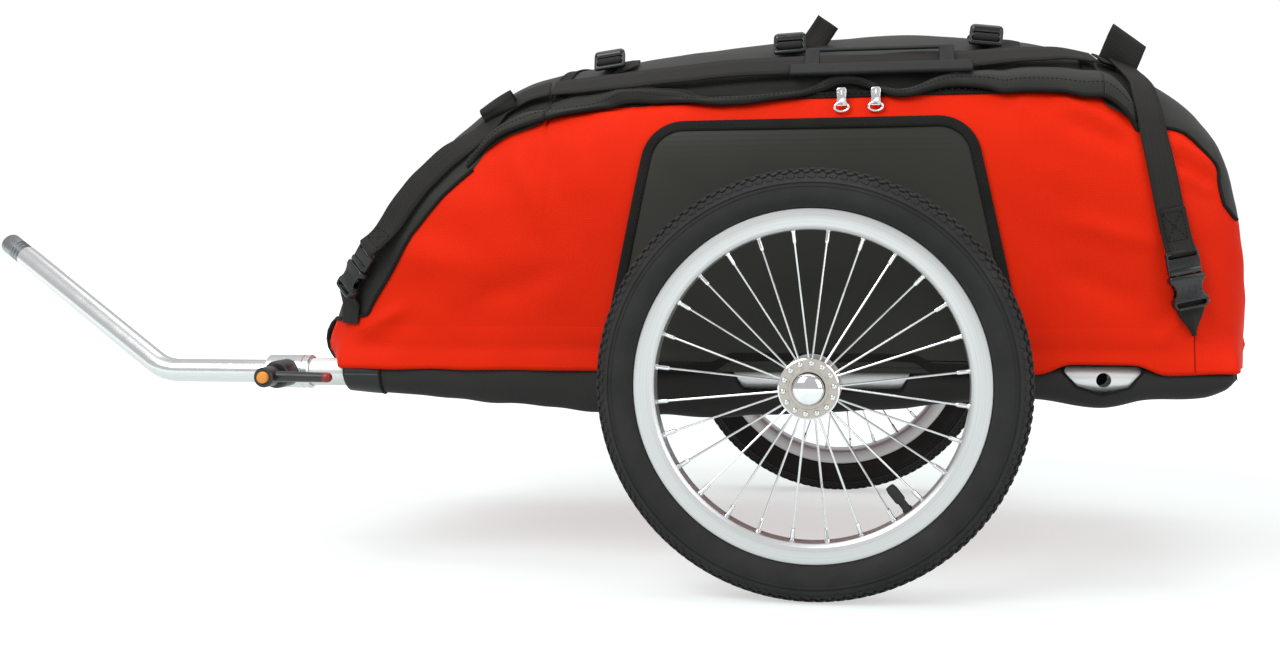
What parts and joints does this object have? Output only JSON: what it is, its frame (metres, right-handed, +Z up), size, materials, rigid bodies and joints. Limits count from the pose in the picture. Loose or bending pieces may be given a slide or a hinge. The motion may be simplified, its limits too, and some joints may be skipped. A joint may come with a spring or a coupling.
{
  "type": "bike cargo trailer",
  "caption": "Bicycle cargo trailer: zipped cloth bag on an aluminium tube frame between spoked wheels, with a bent drawbar that slides, turns and clamps at one side.",
  "frame": {"origin": "on the ground, at the middle of the overall length and width", "axes": "+X from the drawbar to the rear, +Y to the side away from the drawbar, +Z up"},
  "size_m": [1.3289, 0.6732, 0.5385],
  "materials": {
    "alu": "satin, clear anodised",
    "steel": "polished",
    "dark_steel": "dark, smooth",
    "hub_grey": "warm grey, fine grained",
    "tyre": "black, small tread blocks",
    "butyl": "black, matt",
    "red_cloth": "red-orange woven nylon",
    "black_cloth": "black woven nylon",
    "guard_cloth": "dark grey coated cloth",
    "webbing": "black ribbed webbing",
    "black_plastic": "black, satin",
    "orange_plastic": "orange, glossy"
  },
  "bodies": {
    "frame_and_bag": {"bag_tub": "red_cloth", "clamp_boss": "black_plastic", "clamp_collar": "alu", "front_buckle_female": "black_plastic", "front_cross_tube": "alu", "front_lower_web": "webbing", "front_strap": "webbing", "left_axle": "steel", "left_axle_socket": "alu", "left_side_tube": "alu", "left_sleeve": "black_cloth", "left_wheel_guard": "guard_cloth", "nose_panel": "black_cloth", "rear_buckle_female": "black_plastic", "rear_cross_tube": "alu", "rear_lower_web": "webbing", "rear_strap": "webbing", "right_axle": "steel", "right_axle_socket": "alu", "right_side_tube": "alu", "right_sleeve": "black_cloth", "right_wheel_guard": "guard_cloth", "tail_panel": "black_cloth", "zip_tape": "black_cloth"},
    "left_wheel": {"left_tyre": "tyre", "left_inner_tube": "butyl", "left_rim": "alu", "left_spokes": "steel", "left_hub": "hub_grey", "left_outer_bearing": "steel", "left_inner_bearing": "steel"},
    "right_wheel": {"right_tyre": "tyre", "right_inner_tube": "butyl", "right_rim": "alu", "right_spokes": "steel", "right_hub": "hub_grey", "right_outer_bearing": "steel", "right_inner_bearing": "steel"},
    "left_button": {"left_axle_button": "steel"},
    "right_button": {"right_axle_button": "steel"},
    "drawbar_slider": {"drawbar_glide": "black_plastic"},
    "drawbar": {"drawbar_tube": "alu", "coupling_plug": "dark_steel"},
    "clamp_lever": {"clamp_lever": "black_plastic"},
    "lever_button": {"lever_button": "orange_plastic"},
    "lid": {"lid_cover": "black_cloth", "edge_strap": "webbing", "front_cross_strap": "webbing", "middle_cross_strap": "webbing", "rear_cross_strap": "webbing", "front_ladder_lock": "black_plastic", "middle_ladder_lock": "black_plastic", "rear_ladder_lock": "black_plastic"},
    "handle": {"carry_handle": "webbing"},
    "front_buckle_male": {"front_buckle_male": "black_plastic"},
    "rear_buckle_male": {"rear_buckle_male": "black_plastic"},
    "front_zip_slider": {"front_zip_slider": "steel"},
    "front_zip_pull": {"front_zip_pull": "steel"},
    "rear_zip_slider": {"rear_zip_slider": "steel"},
    "rear_zip_pull": {"rear_zip_pull": "steel"}
  },
  "joints": [
    {"name": "left_wheel_spin", "type": "hinge", "parent": "frame_and_bag", "child": "left_wheel", "pos_m": [0.26348, -0.3, 0.195], "axis": [0, 1, 0], "continuous": true},
    {"name": "right_wheel_spin", "type": "hinge", "parent": "frame_and_bag", "child": "right_wheel", "pos_m": [0.26348, 0.3, 0.195], "axis": [0, 1, 0], "continuous": true},
    {"name": "left_button_press", "type": "slide", "parent": "frame_and_bag", "child": "left_button", "axis": [0, 1, 0], "range_m": [0, 0.003], "stiffness_N_per_m": 800},
    {"name": "right_button_press", "type": "slide", "parent": "frame_and_bag", "child": "right_button", "axis": [0, -1, 0], "range_m": [0, 0.003], "stiffness_N_per_m": 800},
    {"name": "drawbar_slide", "type": "slide", "parent": "frame_and_bag", "child": "drawbar_slider", "axis": [-1, 0, 0], "range_m": [-0.075, 0.15]},
    {"name": "drawbar_turn", "type": "hinge", "parent": "drawbar_slider", "child": "drawbar", "pos_m": [-0.27252, -0.202, 0.195], "axis": [1, 0, 0], "range_deg": [-180, 180]},
    {"name": "clamp_lever_turn", "type": "hinge", "parent": "frame_and_bag", "child": "clamp_lever", "pos_m": [-0.27252, -0.202, 0.195], "axis": [0, -1, 0], "range_deg": [0, 180]},
    {"name": "lever_button_press", "type": "slide", "parent": "clamp_lever", "child": "lever_button", "axis": [0, 1, 0], "range_m": [0, 0.0025], "stiffness_N_per_m": 600},
    {"name": "lid_open", "type": "hinge", "parent": "frame_and_bag", "child": "lid", "pos_m": [0.26348, 0.1997, 0.466], "axis": [-1, 0, 0], "range_deg": [0, 110]},
    {"name": "handle_swing", "type": "hinge", "parent": "lid", "child": "handle", "pos_m": [0.26348, -0.17327, 0.5095], "axis": [-1, 0, 0], "range_deg": [0, 100]},
    {"name": "front_buckle_unclip", "type": "slide", "parent": "frame_and_bag", "child": "front_buckle_male", "axis": [0.5318, -0.0532, 0.8452], "range_m": [0, 0.022]},
    {"name": "rear_buckle_unclip", "type": "slide", "parent": "frame_and_bag", "child": "rear_buckle_male", "axis": [-0.1912, -0.0234, 0.9813], "range_m": [0, 0.022]},
    {"name": "front_zip_slide", "type": "slide", "parent": "frame_and_bag", "child": "front_zip_slider", "axis": [-1, 0.008, 0], "range_m": [0, 0.11]},
    {"name": "front_zip_pull_swing", "type": "hinge", "parent": "front_zip_slider", "child": "front_zip_pull", "pos_m": [0.28748, -0.21077, 0.4612], "axis": [-1, 0, 0], "range_deg": [0, 150]},
    {"name": "rear_zip_slide", "type": "slide", "parent": "frame_and_bag", "child": "rear_zip_slider", "axis": [1, 0.008, 0], "range_m": [0, 0.11]},
    {"name": "rear_zip_pull_swing", "type": "hinge", "parent": "rear_zip_slider", "child": "rear_zip_pull", "pos_m": [0.31948, -0.21077, 0.4612], "axis": [-1, 0, 0], "range_deg": [0, 150]}
  ]
}
